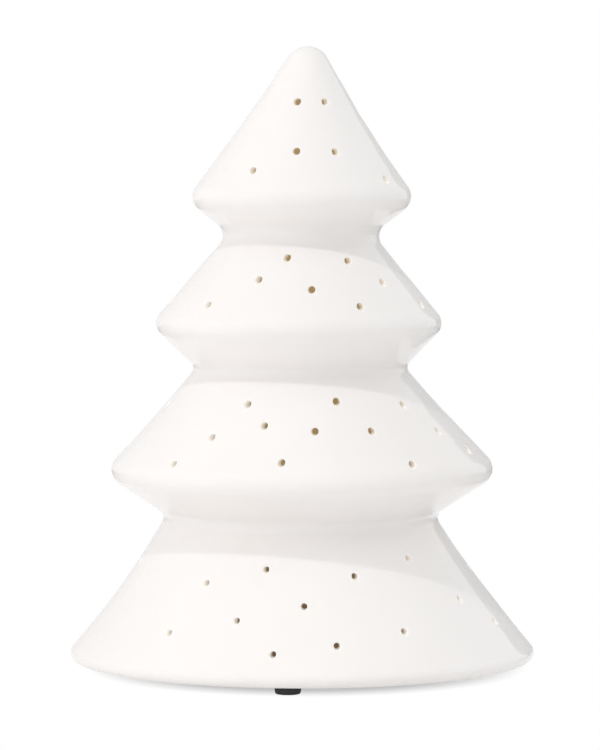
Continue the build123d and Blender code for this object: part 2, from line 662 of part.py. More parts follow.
# Screws that hold the board
with BuildPart() as board_screws:
    with BuildSketch(Plane.XY.offset(board_top)):
        with GridLocations(2 * post_x, 2 * post_y, 2, 2):
            Circle(BOARD_SCREW_HEAD_RADIUS)
    extrude(amount=BOARD_SCREW_HEAD_HEIGHT)
    with BuildSketch(Plane.XY.offset(board_top)):
        with GridLocations(2 * post_x, 2 * post_y, 2, 2):
            Circle(BOARD_SCREW_RADIUS)
    extrude(amount=-BOARD_SCREW_LENGTH)
    with BuildSketch(Plane.XY.offset(board_top + BOARD_SCREW_HEAD_HEIGHT)):
        with GridLocations(2 * post_x, 2 * post_y, 2, 2):
            Rectangle(BOARD_CROSS_LENGTH, CROSS_WIDTH)
            Rectangle(CROSS_WIDTH, BOARD_CROSS_LENGTH)
    extrude(amount=-CROSS_DEPTH, mode=Mode.SUBTRACT)
board_screws.part.label = "board_screws"
export_step(board_screws.part, "parts/board_screws.step")

# Lid over the electronics
with BuildPart() as housing_cover:
    with BuildSketch(Plane.XY.offset(housing_top)):
        Circle(HOUSING_RADIUS)
        with PolarLocations(LED_CIRCLE_RADIUS, LED_COUNT, start_angle=LED_START):
            Circle(LED_RADIUS + LED_HOLE_GAP, mode=Mode.SUBTRACT)
        with PolarLocations(boss_circle, BOSS_COUNT, start_angle=BOSS_START):
            Circle(SCREW_RADIUS + SCREW_HOLE_GAP, mode=Mode.SUBTRACT)
    extrude(amount=LID_THICKNESS)
    with BuildSketch(Plane.XY.offset(lid_top)):
        with PolarLocations(boss_circle, BOSS_COUNT, start_angle=BOSS_START):
            Circle(SCREW_HEAD_RADIUS + HEAD_GAP)
    extrude(amount=-HEAD_SINK, mode=Mode.SUBTRACT)
    with BuildSketch(Plane.XY.offset(lid_top)):
        Circle(REFLECTOR_FOOT_RADIUS + REFLECTOR_FOOT_WIDTH)
        Circle(REFLECTOR_FOOT_RADIUS, mode=Mode.SUBTRACT)
    extrude(amount=-REFLECTOR_SINK, mode=Mode.SUBTRACT)
housing_cover.part.label = "housing_cover"
export_step(housing_cover.part, "parts/housing_cover.step")

# Screws that hold the lid
with BuildPart() as cover_screws:
    with BuildSketch(Plane.XY.offset(lid_top - HEAD_SINK)):
        with PolarLocations(boss_circle, BOSS_COUNT, start_angle=BOSS_START):
            Circle(SCREW_HEAD_RADIUS)
    extrude(amount=SCREW_HEAD_HEIGHT)
    with BuildSketch(Plane.XY.offset(lid_top - HEAD_SINK)):
        with PolarLocations(boss_circle, BOSS_COUNT, start_angle=BOSS_START):
            Circle(SCREW_RADIUS)
    extrude(amount=-SCREW_LENGTH)
    with BuildSketch(Plane.XY.offset(lid_top - HEAD_SINK + SCREW_HEAD_HEIGHT)):
        with PolarLocations(boss_circle, BOSS_COUNT, start_angle=BOSS_START):
            Rectangle(CROSS_LENGTH, CROSS_WIDTH)
            Rectangle(CROSS_WIDTH, CROSS_LENGTH)
    extrude(amount=-CROSS_DEPTH, mode=Mode.SUBTRACT)
cover_screws.part.label = "cover_screws"
export_step(cover_screws.part, "parts/cover_screws.step")

# Flared collar that throws the light up into the tree
with BuildPart() as reflector:
    with BuildSketch(Plane.XZ):
        with BuildLine():
            Polyline(
                (REFLECTOR_FOOT_RADIUS, lid_top - REFLECTOR_SINK),
                (REFLECTOR_FOOT_RADIUS, lid_top),
                (REFLECTOR_TOP_RADIUS, lid_top + REFLECTOR_RISE),
                (REFLECTOR_TOP_RADIUS + REFLECTOR_WALL, lid_top + REFLECTOR_RISE),
                (REFLECTOR_FOOT_RADIUS + REFLECTOR_FOOT_WIDTH, lid_top),
                (REFLECTOR_FOOT_RADIUS + REFLECTOR_FOOT_WIDTH, lid_top - REFLECTOR_SINK),
                close=True,
            )
        make_face()
    revolve(axis=Axis.Z)
reflector.part.label = "reflector"
export_step(reflector.part, "parts/reflector.step")

# Leads: each rises from its first end, runs level under the lid and comes down on its second
lead_routes = (
    ("black_wire", (-plate_middle, -cell_pitch, tab_top), (black_pad[0], black_pad[1], board_top)),
    ("red_wire", (plate_middle, cell_pitch, tab_top), (PIN_PITCH, switch_y, pin_top)),
    ("timer_wire", (0, switch_y, pin_top), (timer_pad[0], timer_pad[1], board_top)),
    ("on_wire", (-PIN_PITCH, switch_y, pin_top), (on_pad[0], on_pad[1], board_top)),
)
for lead_name, first, second in lead_routes:
    with BuildPart() as lead:
        with BuildLine() as route:
            FilletPolyline(
                first,
                (first[0], first[1], wire_crest),
                (second[0], second[1], wire_crest),
                second,
                radius=WIRE_BEND,
            )
        with BuildSketch(Plane(origin=first, z_dir=(0, 0, 1))):
            Circle(WIRE_RADIUS)
        sweep()
    lead.part.label = lead_name
    export_step(lead.part, f"parts/{lead_name}.step")
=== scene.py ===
"""White glazed ceramic tree with light holes and a battery light unit in its base, on a white sweep."""
import math

import bpy
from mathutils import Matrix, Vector, noise


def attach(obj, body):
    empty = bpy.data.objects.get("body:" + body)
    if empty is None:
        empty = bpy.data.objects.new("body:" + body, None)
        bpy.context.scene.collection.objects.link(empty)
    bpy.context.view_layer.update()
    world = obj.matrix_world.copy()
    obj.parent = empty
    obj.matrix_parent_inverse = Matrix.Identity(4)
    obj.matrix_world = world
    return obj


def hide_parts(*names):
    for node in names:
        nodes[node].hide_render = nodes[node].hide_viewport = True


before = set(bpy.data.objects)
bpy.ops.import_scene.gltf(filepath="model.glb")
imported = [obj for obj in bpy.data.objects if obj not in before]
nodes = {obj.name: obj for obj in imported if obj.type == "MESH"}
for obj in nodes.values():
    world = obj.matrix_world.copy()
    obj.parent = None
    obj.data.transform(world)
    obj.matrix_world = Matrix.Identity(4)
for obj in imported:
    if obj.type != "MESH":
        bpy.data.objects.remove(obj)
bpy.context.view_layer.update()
scene = bpy.context.scene
scene.view_settings.view_transform = "Standard"
MM = 0.001

# Camera: a long lens a little above the middle of the tree, as in the photograph
CAMERA_SIDE = -0.85
CAMERA_DISTANCE = 1405.7
CAMERA_HEIGHT = 185.45
AIM_HEIGHT = 113.15
LENS_LENGTH = 175.05
SENSOR_WIDTH = 36.0
VIEW_END = 50.0

camera_data = bpy.data.cameras.new("camera")
camera_data.lens = LENS_LENGTH
camera_data.sensor_width = SENSOR_WIDTH
camera_data.clip_end = VIEW_END
camera = bpy.data.objects.new("camera", camera_data)
scene.collection.objects.link(camera)
camera.location = (CAMERA_SIDE * MM, -CAMERA_DISTANCE * MM, CAMERA_HEIGHT * MM)
tilt = math.atan2(CAMERA_HEIGHT - AIM_HEIGHT, CAMERA_DISTANCE)
camera.rotation_euler = (math.pi / 2 - tilt, 0, 0)
scene.camera = camera

# Casting, in millimetres: radii from the axis, heights from the floor that the feet stand on
TREE_HEIGHT = 239.6
BASE_RADIUS = 93.7
FOOT_HEIGHT = 3.4
WALL = 3.2
DOME_RADIUS = 9.0
BRIM_1_ROUND = 6.2
BRIM_2_ROUND = 5.6
BRIM_3_ROUND = 6.3
BASE_ROUND = 3.2
NECK_1_ROUND = 5.6
NECK_2_ROUND = 3.0
NECK_3_ROUND = 3.9
FLANK_1_SAG = 0.9
FLANK_3_SAG = 0.6
FLANK_4_SAG = 1.8

# Underside of the base and the floor inside
UNDER_RADII = (84.0, 76.0, 68.0, 60.0)
RECESS_RADIUS = 53.0
RECESS_TOP = 5.0
SEAT_RADIUS = 49.5
OPENING_RADIUS = 46.2
BASE_TOP = 8.4
INNER_FLOOR_RADII = (56.0, 68.0, 78.0)
EDGE_ROUND = 0.5
EDGE_MIDDLE = 0.3

# The casting leans and bows a little: height, and how far its axis is off to the right
BOW = (
    (0, 0), (12, 0), (24, 0.2), (55, -0.6), (86, 0.1), (109, -0.5), (134, -1.4), (151, -1.1), (176, -0.2),
    (196, 0.1), (211, 0.6), (226, 1.6), (240, 2.1),
)

# Its skin swells a little, above the base
SWELL = 0.16
SWELL_SPAN = 34.0
SWELL_START = 12
SWELL_RISE = 30

# Fineness of its mesh
COLUMNS = 288
ROW_STEP = 1.4
BEND_STEP = 0.8
ROUNDING_TRIES = 30
LEAST_RADIUS = 1e-6


def corner(radius_share, height_share):
    """Corner of the outline, from shares of the base's radius and of the tree's height."""
    return Vector((radius_share * BASE_RADIUS, height_share * TREE_HEIGHT))


brim_1 = corner(0.476, 0.7546)
neck_1 = corner(0.2956, 0.7003)
brim_2 = corner(0.6083, 0.5547)
neck_2 = corner(0.4301, 0.4854)
brim_3 = corner(0.8228, 0.3168)
neck_3 = corner(0.5528, 0.2475)
base = Vector((BASE_RADIUS, FOOT_HEIGHT))

# The dome at the tip runs smoothly into the first flank
dome_height = TREE_HEIGHT - DOME_RADIUS
dome_centre = Vector((0, dome_height))
brim_reach = math.hypot(brim_1.x, brim_1.y - dome_height)
brim_angle = math.atan2(brim_1.y - dome_height, brim_1.x)
flank_bend = 2 * math.atan(2 * FLANK_1_SAG / math.sqrt(brim_reach**2 - DOME_RADIUS**2))
dome_turn = math.asin(DOME_RADIUS * math.cos(flank_bend) / brim_reach)
dome_angle = brim_angle + math.pi / 2 - flank_bend - dome_turn
tip = Vector((DOME_RADIUS * math.cos(dome_angle), dome_height + DOME_RADIUS * math.sin(dome_angle)))


def straight(upper, lower, sag=0.0):
    """One run of the outline: straight, or sagging towards the axis on a long arc."""
    along = lower - upper
    out = Vector((-along.y, along.x)).normalized()
    if sag == 0:
        return {"point": upper, "out": out}
    radius = (along.length_squared / 4 + sag * sag) / (2 * sag)
    return {"centre": (upper + lower) / 2 + out * (radius - sag), "radius": radius}


def over(run, place):
    """How far a place is outside a run, and which way is out there."""
    if "point" in run:
        return (place - run["point"]).dot(run["out"]), run["out"]
    to_centre = run["centre"] - place
    return run["radius"] - to_centre.length, to_centre.normalized()


def foot_on(run, place):
    """Place on a run that is nearest to a given place."""
    distance, out = over(run, place)
    return place - out * distance


def rounding(first, second, at, radius):
    """Centre of the arc that joins two runs; a negative radius rounds a brim, a positive one fills a neck."""
    centre = at.copy()
    for _ in range(ROUNDING_TRIES):
        d1, n1 = over(first, centre)
        d2, n2 = over(second, centre)
        e1, e2 = radius - d1, radius - d2
        det = n1.x * n2.y - n1.y * n2.x
        centre += Vector(((e1 * n2.y - e2 * n1.y) / det, (n1.x * e2 - n2.x * e1) / det))
    return centre


def bend(start, end, centre, step):
    """Points round a centre from start to end, without the first."""
    a = math.atan2(start.y - centre.y, start.x - centre.x)
    b = math.atan2(end.y - centre.y, end.x - centre.x)
    radius = (start - centre).length
    turn = (b - a + math.pi) % (2 * math.pi) - math.pi
    count = max(2, math.ceil(abs(turn) * radius / step))
    angles = [a + turn * k / count for k in range(1, count + 1)]
    return [centre + radius * Vector((math.cos(t), math.sin(t))) for t in angles]


runs = [
    straight(tip, brim_1, FLANK_1_SAG),
    straight(brim_1, neck_1),
    straight(neck_1, brim_2),
    straight(brim_2, neck_2),
    straight(neck_2, brim_3, FLANK_3_SAG),
    straight(brim_3, neck_3),
    straight(neck_3, base, FLANK_4_SAG),
    straight(base, Vector((0, FOOT_HEIGHT))),
]
corners = [
    (brim_1, -BRIM_1_ROUND),
    (neck_1, NECK_1_ROUND),
    (brim_2, -BRIM_2_ROUND),
    (neck_2, NECK_2_ROUND),
    (brim_3, -BRIM_3_ROUND),
    (neck_3, NECK_3_ROUND),
    (base, -BASE_ROUND),
]

# Outer skin from the tip to the base: place, way out, and the tier whose flank it is on, or 0
outer = [(Vector((0, TREE_HEIGHT)), Vector((0, 1)), 1)]
for place in bend(outer[0][0], tip, dome_centre, BEND_STEP):
    outer.append((place, (place - dome_centre).normalized(), 1))
last = tip
for index, (at, radius) in enumerate(corners):
    first, second = runs[index], runs[index + 1]
    tier = index // 2 + 1 if index % 2 == 0 else 0
    centre = rounding(first, second, at, radius)
    start, end = foot_on(first, centre), foot_on(second, centre)
    if "point" in first:
        count = max(2, math.ceil((start - last).length / ROW_STEP))
        places = [last.lerp(start, k / count) for k in range(1, count + 1)]
    else:
        places = bend(last, start, first["centre"], ROW_STEP)
    outer += [(place, over(first, place)[1].copy(), tier) for place in places]
    for place in bend(start, end, centre, BEND_STEP):
        out = (centre - place).normalized() * (1 if radius > 0 else -1)
        outer.append((place, out, tier if radius < 0 and out.y > 0 else 0))
    last = end

# Underside of the base, the seat and the opening, then the floor inside
under = [(radius, FOOT_HEIGHT) for radius in UNDER_RADII]
under += [
    (RECESS_RADIUS + EDGE_ROUND, FOOT_HEIGHT),
    (RECESS_RADIUS + EDGE_MIDDLE * EDGE_ROUND, FOOT_HEIGHT + EDGE_MIDDLE * EDGE_ROUND),
    (RECESS_RADIUS, FOOT_HEIGHT + EDGE_ROUND),
    (RECESS_RADIUS, RECESS_TOP),
    (SEAT_RADIUS, RECESS_TOP),
    (OPENING_RADIUS, RECESS_TOP),
]
inner_floor = [(radius, BASE_TOP) for radius in (OPENING_RADIUS, *INNER_FLOOR_RADII)]

# Inner skin: the outer one moved in by the wall, down to the floor
inner = []
for place, out, tier in outer:
    moved = place - out * WALL
    if inner and moved.y < BASE_TOP:
        above = inner[-1][0]
        share = (above.y - BASE_TOP) / (above.y - moved.y)
        inner.append((above.lerp(moved, share), 0))
        break
    inner.append((moved, tier))

# All rows of the casting, tip to base and back up inside
rows = [place for place, out, tier in outer]
row_tier = [tier for place, out, tier in outer]
outer_count = len(rows)
rows += [Vector(place) for place in under]
inside_start = len(rows)
rows += [Vector(place) for place in inner_floor]
inner_start = len(rows)
row_tier += [0] * (inner_start - outer_count)
rows += [place for place, tier in reversed(inner)]
row_tier += [tier for place, tier in reversed(inner)]
row_count = len(rows)
outer_rows = range(outer_count)
inner_rows = range(row_count - 1, inner_start - 1, -1)


def radius_on(skin, tier, height):
    """Radius of a skin at a height on a tier's flank, or just past its ends."""
    flank = [rows[i] for i in skin if row_tier[i] == tier]
    spans = list(zip(flank, flank[1:]))
    above, below = next((span for span in spans if height >= span[1].y), spans[-1])
    return above.x + (below.x - above.x) * (above.y - height) / (above.y - below.y)


def nearest_row(skin, tier, height):
    """Row of a tier's flank that is nearest to a height."""
    return min((i for i in skin if row_tier[i] == tier), key=lambda i: abs(rows[i].y - height))


def bow(height):
    """How far the axis is off to the right at a height, eased between the places in the list."""
    for (z0, x0), (z1, x1) in zip(BOW, BOW[1:]):
        if height <= z1:
            share = (height - z0) / (z1 - z0)
            return x0 + (x1 - x0) * share * share * (3 - 2 * share)
    return BOW[-1][1]


# Light holes: a soft rim on the outside, a throat that narrows inwards and a small lip on the inside.
# Each step of the rim is its share of the way in, and its mark: how much warmer throat tone and painted glow
# it gets
RIM_RADIUS = 1.9
RIM_DEPTH = 0.5
RIM_STEPS = ((0.22, 0.05), (0.42, 0.15), (0.62, 0.4), (0.82, 0.8), (1.0, 1.0))
FAR_SHARE = 0.8
FAR_LIP = 0.2
FAR_LIP_WIDTH = 0.4

# Block of the mesh that makes way for a hole, to each side of its middle
BLOCK_REACH = 3.3
BLOCK_LEAST_COLUMNS = 2
BLOCK_ROWS = 3

# For each tier its start and end, the degrees that the drill leaned, what the glaze left open, and its holes:
# degrees round from the front and share of the way down; the back repeats the front
TIER_HOLES = {
    1: (TREE_HEIGHT, brim_1.y, 0, 1.4, (
        (-6, 0.37), (27.5, 0.37), (-4, 0.69), (23.5, 0.695), (-31, 0.815), (55, 0.87),
        (94, 0.62),
    )),
    2: (neck_1.y, brim_2.y, 8, 1.42, (
        (-9.5, 0.255), (29, 0.29), (-23, 0.49), (4.5, 0.59), (46, 0.525), (-44.5, 0.765),
        (26, 0.77), (67, 0.77), (90, 0.38), (98, 0.74),
    )),
    3: (neck_2.y, brim_3.y, 9, 1.4, (
        (-24, 0.295), (15, 0.265), (48.5, 0.315), (-14.5, 0.48), (-33.5, 0.595), (4.5, 0.525),
        (26, 0.53), (58.5, 0.565), (69, 0.755), (-43, 0.84), (-6.5, 0.795), (35.5, 0.83),
        (86, 0.4), (93, 0.72), (100, 0.33),
    )),
    4: (neck_3.y, base.y, 4.5, 1.22, (
        (-12.7, 0.275), (42, 0.23), (-33.2, 0.375), (18, 0.32), (0.5, 0.5), (56.5, 0.515),
        (68.5, 0.685), (-19.1, 0.595), (-39, 0.695), (9, 0.74), (29, 0.67), (-7.5, 0.79),
        (85, 0.36), (92, 0.63), (99, 0.3),
    )),
}


def light_hole(tier, height, degrees, lean, throat):
    """A hole's place and drill, and the rows and columns of the mesh that make way for it."""
    radius = radius_on(outer_rows, tier, height)
    turn = math.radians(degrees)
    turn -= bow(height) * math.cos(turn) / radius
    drill = turn - math.radians(lean)
    middle_column = round(turn / (2 * math.pi) * COLUMNS)
    reach = max(BLOCK_LEAST_COLUMNS, round(BLOCK_REACH / (2 * math.pi * radius / COLUMNS)))
    out_row = nearest_row(outer_rows, tier, height)
    in_row = nearest_row(inner_rows, tier, height)
    return {
        "tier": tier,
        "height": height,
        "turn": turn,
        "throat": throat,
        "middle": radius * Vector((math.sin(turn), -math.cos(turn), 0)),
        "ahead": Vector((math.sin(drill), -math.cos(drill), 0)),
        "aside": Vector((math.cos(drill), math.sin(drill), 0)),
        "left": middle_column - reach,
        "right": middle_column + reach,
        "outside": (out_row - BLOCK_ROWS, out_row + BLOCK_ROWS),
        "inside": (in_row + BLOCK_ROWS, in_row - BLOCK_ROWS),
    }


holes = []
for tier, (start, end, lean, throat, places) in TIER_HOLES.items():
    for degrees, share in places:
        for half_turn in (0, 180):
            height = start - share * (start - end)
            holes.append(light_hole(tier, height, degrees + half_turn, lean, throat))

gone_cells, gone_points = set(), set()
for hole in holes:
    for top, bottom in (hole["outside"], hole["inside"]):
        low, high = min(top, bottom), max(top, bottom)
        for i in range(low, high):
            for j in range(hole["left"], hole["right"]):
                assert (i, j % COLUMNS) not in gone_cells
                gone_cells.add((i, j % COLUMNS))
        for i in range(low + 1, high):
            for j in range(hole["left"] + 1, hole["right"]):
                gone_points.add((i, j % COLUMNS))

# Mesh of the casting: its points, the mark for throat tone and painted glow at each, its faces, and the skin
# of each
points, rim_tint_and_glow, faces, skins = [], [], [], []
GLAZE, BISQUE, INSIDE = 0, 1, 2


def add_point(x, y, z, rim=0.0):
    points.append((x, y, z))
    rim_tint_and_glow.append(rim)
    return len(points) - 1


def add_ring(places, rim):
    return [add_point(*place, rim) for place in places]


def add_face(face, skin):
    faces.append(face)
    skins.append(skin)


def skin_of(row):
    """Skin below a row: glazed outside, bare under the base, and the inside."""
    if row < outer_count - 1:
        return GLAZE
    return BISQUE if row < inside_start else INSIDE


grid = {}
for i, place in enumerate(rows):
    for j in range(COLUMNS):
        if i in (0, row_count - 1):
            grid[i, j] = grid[i, 0] if j else add_point(0, 0, place.y)
        elif (i, j) not in gone_points:
            turn = 2 * math.pi * j / COLUMNS
            grid[i, j] = add_point(place.x * math.sin(turn), -place.x * math.cos(turn), place.y)
for i in range(row_count - 1):
    for j in range(COLUMNS):
        if (i, j) not in gone_cells:
            k = (j + 1) % COLUMNS
            ring = [grid[i, j], grid[i + 1, j], grid[i + 1, k], grid[i, k]]
            add_face(tuple(dict.fromkeys(ring)), skin_of(i))


def edge_loop(top, bottom, left, right):
    """Grid points round a hole's block: along the top, down the right, back along the bottom, up the left."""
    step = 1 if bottom > top else -1
    loop = [(top, j) for j in range(left, right)]
    loop += [(i, right) for i in range(top, bottom, step)]
    loop += [(bottom, j) for j in range(right, left, -1)]
    loop += [(i, left) for i in range(bottom, top, -step)]
    return [(i, j % COLUMNS) for i, j in loop]


def on_skin(hole, skin, angle, radius):
    """Place on a skin straight along the drill from a point of the hole's circle."""
    height = hole["height"] + radius * math.sin(angle)
    start = hole["middle"] + hole["aside"] * radius * math.cos(angle)
    along = start.dot(hole["ahead"])
    reach = math.sqrt(along**2 - start.length_squared + radius_on(skin, hole["tier"], height) ** 2)
    return start + hole["ahead"] * (reach - along) + Vector((0, 0, height))


def add_hole(hole):
    """Rings from the outer skin over the rim and through the throat to the inner skin, joined by faces."""
    outside = edge_loop(*hole["outside"], hole["left"], hole["right"])
    inside = edge_loop(*hole["inside"], hole["left"], hole["right"])
    angles = []
    for i, j in outside:
        turn = 2 * math.pi * j / COLUMNS - hole["turn"]
        angles.append(math.atan2(rows[i].y - hole["height"], rows[i].x * math.sin(turn)))
    near, far = hole["throat"], hole["throat"] * FAR_SHARE
    brink = [on_skin(hole, outer_rows, angle, RIM_RADIUS) for angle in angles]
    edge = [on_skin(hole, outer_rows, angle, near) for angle in angles]
    far_edge = [on_skin(hole, inner_rows, angle, far) for angle in angles]
    far_brink = [on_skin(hole, inner_rows, angle, far + FAR_LIP_WIDTH) for angle in angles]

    rings = [[grid[key] for key in outside], add_ring(brink, 0.0)]
    for share, mark in RIM_STEPS:
        places = []
        for upper, sharp in zip(brink, edge):
            deep = sharp - hole["ahead"] * RIM_DEPTH
            places.append(upper * (1 - share) ** 2 + sharp * 2 * share * (1 - share) + deep * share**2)
        rings.append(add_ring(places, mark))
    rings.append(add_ring([place + hole["ahead"] * FAR_LIP for place in far_edge], 1.0))
    throat_end = len(rings) - 1
    rings.append(add_ring(far_brink, 0.0))
    rings.append([grid[key] for key in inside])
    for level, (before, after) in enumerate(zip(rings, rings[1:])):
        skin = GLAZE if level < throat_end else INSIDE
        for k in range(len(before)):
            n = (k + 1) % len(before)
            add_face((before[k], after[k], after[n], before[n]), skin)


for hole in holes:
    add_hole(hole)

shaped = []
for x, y, z in points:
    fade = min(1.0, max(0.0, (z - SWELL_START) / SWELL_RISE))
    swell = SWELL * fade * noise.noise(Vector((x, y, z)) / SWELL_SPAN)
    radius = max(math.hypot(x, y), LEAST_RADIUS)
    shaped.append(((x + bow(z) + swell * x / radius) * MM, (y + swell * y / radius) * MM, z * MM))
tree_mesh = bpy.data.meshes.new("ceramic_tree")
tree_mesh.from_pydata(shaped, [], faces)
tree_mesh.polygons.foreach_set("material_index", skins)
tree_mesh.polygons.foreach_set("use_smooth", [True] * len(faces))
tree_mesh.attributes.new("rim", "FLOAT", "POINT").data.foreach_set("value", rim_tint_and_glow)
tree_mesh.update()
tree = bpy.data.objects.new("ceramic_tree", tree_mesh)
scene.collection.objects.link(tree)
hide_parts("tier_1", "tier_2", "tier_3", "tier_4")
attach(tree, "tree")

# Materials. A noise is given by its scale, detail and roughness. A mottled finish goes from its first tone to
# its last between two levels of the noise
TONE_STOPS = (0.3, 0.7)
GRAIN_STOPS = (0.35, 0.65)
GRAIN_DETAIL = 4.0
GRAIN_ROUGHNESS = 0.6


def new_material(name):
    material = bpy.data.materials.new(name)
    material.use_nodes = True
    tree_nodes = material.node_tree.nodes
    return material, tree_nodes, material.node_tree.links, tree_nodes["Principled BSDF"]


def noise_node(tree_nodes, links, scale, detail, roughness):
    place = tree_nodes.new("ShaderNodeTexCoord")
    texture = tree_nodes.new("ShaderNodeTexNoise")
    texture.inputs["Scale"].default_value = scale
    texture.inputs["Detail"].default_value = detail
    texture.inputs["Roughness"].default_value = roughness
    links.new(place.outputs["Object"], texture.inputs["Vector"])
    return texture.outputs["Fac"]


def axis_node(tree_nodes, links, axis):
    """The piece's own coordinate along an axis."""
    place = tree_nodes.new("ShaderNodeTexCoord")
    axes = tree_nodes.new("ShaderNodeSeparateXYZ")
    links.new(place.outputs["Object"], axes.inputs["Vector"])
    return axes.outputs[axis]


def range_node(tree_nodes, links, source, before=(0.0, 1.0), after=(0.0, 1.0)):
    """A value carried from one range to another, and held at the ends."""
    mapped = tree_nodes.new("ShaderNodeMapRange")
    for socket, value in zip(("From Min", "From Max", "To Min", "To Max"), (*before, *after)):
        mapped.inputs[socket].default_value = value
    links.new(source, mapped.inputs["Value"])
    return mapped.outputs["Result"]


def ramp_node(tree_nodes, links, source, stops, interpolation="LINEAR"):
    ramp = tree_nodes.new("ShaderNodeValToRGB")
    while len(ramp.color_ramp.elements) < len(stops):
        ramp.color_ramp.elements.new(0.5)
    for element, (position, colour) in zip(ramp.color_ramp.elements, stops):
        element.position = position
        element.color = (*colour, 1.0)
    ramp.color_ramp.interpolation = interpolation
    links.new(source, ramp.inputs["Fac"])
    return ramp.outputs["Color"]


def bump_node(tree_nodes, links, shader, source, distance):
    relief = tree_nodes.new("ShaderNodeBump")
    relief.inputs["Strength"].default_value = 1.0
    relief.inputs["Distance"].default_value = distance
    links.new(source, relief.inputs["Height"])
    links.new(relief.outputs["Normal"], shader.inputs["Normal"])


def plain_material(name, dark, light, scale, rough, relief, metallic=0.0):
    """Two near shades mottled at one scale, with roughness and relief from the same grain."""
    material, tree_nodes, links, shader = new_material(name)
    grain = noise_node(tree_nodes, links, scale, GRAIN_DETAIL, GRAIN_ROUGHNESS)
    shade = ramp_node(tree_nodes, links, grain, tuple(zip(GRAIN_STOPS, (dark, light))))
    links.new(shade, shader.inputs["Base Color"])
    links.new(range_node(tree_nodes, links, grain, after=rough), shader.inputs["Roughness"])
    shader.inputs["Metallic"].default_value = metallic
    bump_node(tree_nodes, links, shader, grain, relief)
    return material


# Glaze: milky white, warmer where thin in the holes' throats, with a painted glow there for light soaking
# through the wall
CLOUDS = (18.0, 2.0, 0.5)
GLAZE_TONES = ((0.89, 0.857, 0.835), (0.908, 0.878, 0.861))
RIPPLES = (75.0, 1.0, 0.4)
RIPPLE_DEPTH = 0.00025
GLAZE_ROUGHNESS = (0.05, 0.09)
GLAZE_IOR = 1.5
THROAT_TONE = (0.9, 0.87, 0.83, 1.0)
THROAT_PAINTED_GLOW = 0.17
THROAT_GLOW_TONE = (1.0, 0.94, 0.85, 1.0)


def glaze_material():
    material, tree_nodes, links, shader = new_material("glaze")
    cloud = noise_node(tree_nodes, links, *CLOUDS)
    body = ramp_node(tree_nodes, links, cloud, tuple(zip(TONE_STOPS, GLAZE_TONES)))
    rim = tree_nodes.new("ShaderNodeAttribute")
    rim.attribute_name = "rim"
    thin = tree_nodes.new("ShaderNodeMix")
    thin.data_type = "RGBA"
    thin.inputs["B"].default_value = THROAT_TONE
    links.new(rim.outputs["Fac"], thin.inputs["Factor"])
    links.new(body, thin.inputs["A"])
    links.new(thin.outputs["Result"], shader.inputs["Base Color"])
    ripple = noise_node(tree_nodes, links, *RIPPLES)
    links.new(range_node(tree_nodes, links, ripple, after=GLAZE_ROUGHNESS), shader.inputs["Roughness"])
    bump_node(tree_nodes, links, shader, ripple, RIPPLE_DEPTH)
    shader.inputs["IOR"].default_value = GLAZE_IOR
    # Painted glow: an emission in the holes' throats that stands in for light soaking through the wall
    shader.inputs["Emission Color"].default_value = THROAT_GLOW_TONE
    painted_glow = tree_nodes.new("ShaderNodeMath")
    painted_glow.operation = "MULTIPLY"
    painted_glow.inputs[1].default_value = THROAT_PAINTED_GLOW
    links.new(rim.outputs["Fac"], painted_glow.inputs[0])
    links.new(painted_glow.outputs["Value"], shader.inputs["Emission Strength"])
    return material


# Inside of the tree: bare clay, with a painted glow standing in for light from its base and through its
# walls.
# The painted glow is given by shares of the tree's height and its colour there; it is dimmest near the base
SPECKLES = (90.0, 3.0, 0.6)
CLAY_TONES = ((0.50, 0.42, 0.32), (0.62, 0.53, 0.42))
CLAY_ROUGHNESS = 0.9
INSIDE_PAINTED_GLOW = (
    (0.06, (0.06, 0.042, 0.03)), (0.13, (0.15, 0.11, 0.075)), (0.2, (0.128, 0.10, 0.078)),
    (0.36, (0.14, 0.115, 0.062)), (0.6, (0.162, 0.132, 0.071)), (0.9, (0.172, 0.136, 0.085)),
)


def inside_material():
    material, tree_nodes, links, shader = new_material("inside")
    speckle = noise_node(tree_nodes, links, *SPECKLES)
    clay = ramp_node(tree_nodes, links, speckle, tuple(zip(TONE_STOPS, CLAY_TONES)))
    links.new(clay, shader.inputs["Base Color"])
    shader.inputs["Roughness"].default_value = CLAY_ROUGHNESS
    height = axis_node(tree_nodes, links, "Z")
    level = range_node(tree_nodes, links, height, before=(0.0, TREE_HEIGHT * MM))
    # Painted glow by height, standing in for the light inside the tree
    links.new(ramp_node(tree_nodes, links, level, INSIDE_PAINTED_GLOW), shader.inputs["Emission Color"])
    shader.inputs["Emission Strength"].default_value = 1.0
    return material


# Dry foot of the casting: bare body where the glaze is wiped off
BISQUE_FINISH = ((0.68, 0.63, 0.56), (0.77, 0.72, 0.655), 520.0, (0.75, 0.95), 0.0002)
for material in (glaze_material(), plain_material("bisque", *BISQUE_FINISH), inside_material()):
    tree_mesh.materials.append(material)

# Lens of the lights: warm, cloudy and lit
LENS_CLOUDS = (900.0, 2.0, 0.5)
LENS_TONES = ((0.85, 0.66, 0.34), (0.92, 0.76, 0.45))
LENS_GLOW = 8.0
LENS_ROUGHNESS = 0.2


def lens_material():
    material, tree_nodes, links, shader = new_material("led_lens")
    cloud = noise_node(tree_nodes, links, *LENS_CLOUDS)
    tone = ramp_node(tree_nodes, links, cloud, tuple(zip(TONE_STOPS, LENS_TONES)))
    links.new(tone, shader.inputs["Base Color"])
    links.new(tone, shader.inputs["Emission Color"])
    shader.inputs["Emission Strength"].default_value = LENS_GLOW
    shader.inputs["Roughness"].default_value = LENS_ROUGHNESS
    return material


